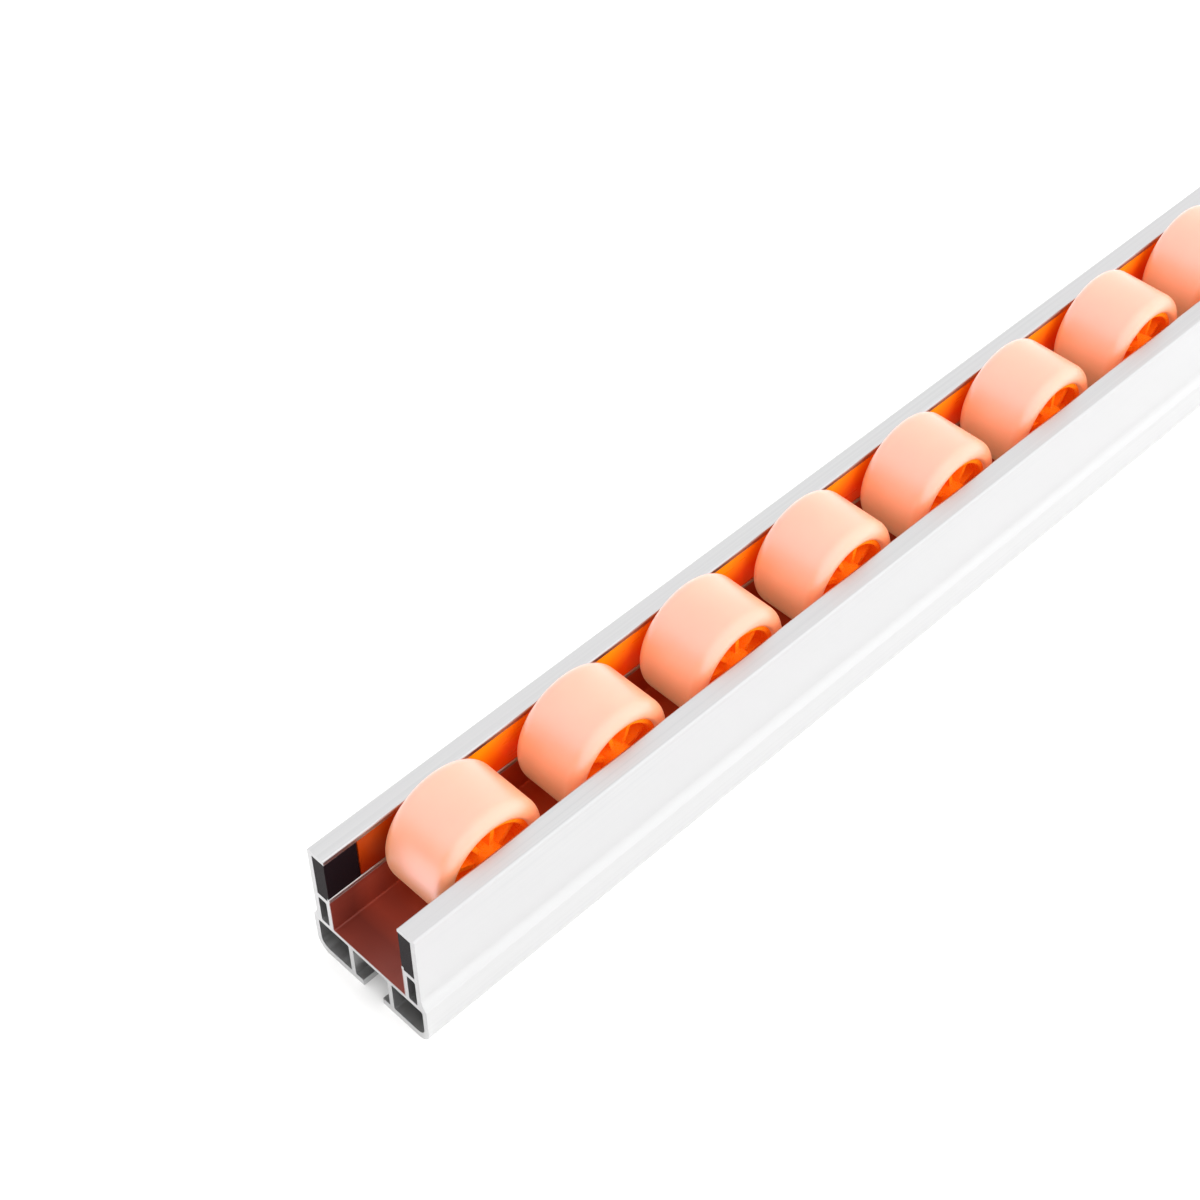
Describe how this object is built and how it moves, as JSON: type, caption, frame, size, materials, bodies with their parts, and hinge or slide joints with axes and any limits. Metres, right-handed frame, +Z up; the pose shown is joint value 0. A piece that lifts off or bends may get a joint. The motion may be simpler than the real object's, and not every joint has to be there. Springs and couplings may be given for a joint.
{
  "type": "flow rack roller track",
  "caption": "Straight aluminium channel rail with a row of wide soft-tread wheels standing above its flat lips, on axles between moulded side strips, with a bolt slot along its base.",
  "frame": {"origin": "middle of the rail's base, on the surface that the rail rests on", "axes": "+X along the track towards end b, +Y to its left side, +Z up through the wheels"},
  "size_m": [0.424, 0.0476, 0.058],
  "materials": {
    "rail_aluminium": "satin, fine extrusion lines",
    "strip_plastic": "moulded, satin gloss",
    "stop_plastic": "moulded, matt",
    "axle_steel": "ground",
    "hub_plastic": "moulded, glossy",
    "tread_rubber": "smooth, semi-gloss"
  },
  "bodies": {
    "track": {"rail": "rail_aluminium", "carrier_strip_left": "strip_plastic", "carrier_strip_right": "strip_plastic", "end_stop_left_a": "stop_plastic", "end_stop_left_b": "stop_plastic", "end_stop_right_a": "stop_plastic", "end_stop_right_b": "stop_plastic", "axle_1": "axle_steel", "axle_2": "axle_steel", "axle_3": "axle_steel", "axle_4": "axle_steel", "axle_5": "axle_steel", "axle_6": "axle_steel", "axle_7": "axle_steel", "axle_8": "axle_steel"},
    "wheel_1": {"hub_1": "hub_plastic", "tread_1": "tread_rubber"},
    "wheel_2": {"hub_2": "hub_plastic", "tread_2": "tread_rubber"},
    "wheel_3": {"hub_3": "hub_plastic", "tread_3": "tread_rubber"},
    "wheel_4": {"hub_4": "hub_plastic", "tread_4": "tread_rubber"},
    "wheel_5": {"hub_5": "hub_plastic", "tread_5": "tread_rubber"},
    "wheel_6": {"hub_6": "hub_plastic", "tread_6": "tread_rubber"},
    "wheel_7": {"hub_7": "hub_plastic", "tread_7": "tread_rubber"},
    "wheel_8": {"hub_8": "hub_plastic", "tread_8": "tread_rubber"}
  },
  "joints": [
    {"name": "wheel_1_spin", "type": "hinge", "parent": "track", "child": "wheel_1", "pos_m": [-0.175, 0, 0.038], "axis": [0, 1, 0], "continuous": true},
    {"name": "wheel_2_spin", "type": "hinge", "parent": "track", "child": "wheel_2", "pos_m": [-0.125, 0, 0.038], "axis": [0, 1, 0], "continuous": true},
    {"name": "wheel_3_spin", "type": "hinge", "parent": "track", "child": "wheel_3", "pos_m": [-0.075, 0, 0.038], "axis": [0, 1, 0], "continuous": true},
    {"name": "wheel_4_spin", "type": "hinge", "parent": "track", "child": "wheel_4", "pos_m": [-0.025, 0, 0.038], "axis": [0, 1, 0], "continuous": true},
    {"name": "wheel_5_spin", "type": "hinge", "parent": "track", "child": "wheel_5", "pos_m": [0.025, 0, 0.038], "axis": [0, 1, 0], "continuous": true},
    {"name": "wheel_6_spin", "type": "hinge", "parent": "track", "child": "wheel_6", "pos_m": [0.075, 0, 0.038], "axis": [0, 1, 0], "continuous": true},
    {"name": "wheel_7_spin", "type": "hinge", "parent": "track", "child": "wheel_7", "pos_m": [0.125, 0, 0.038], "axis": [0, 1, 0], "continuous": true},
    {"name": "wheel_8_spin", "type": "hinge", "parent": "track", "child": "wheel_8", "pos_m": [0.175, 0, 0.038], "axis": [0, 1, 0], "continuous": true}
  ]
}
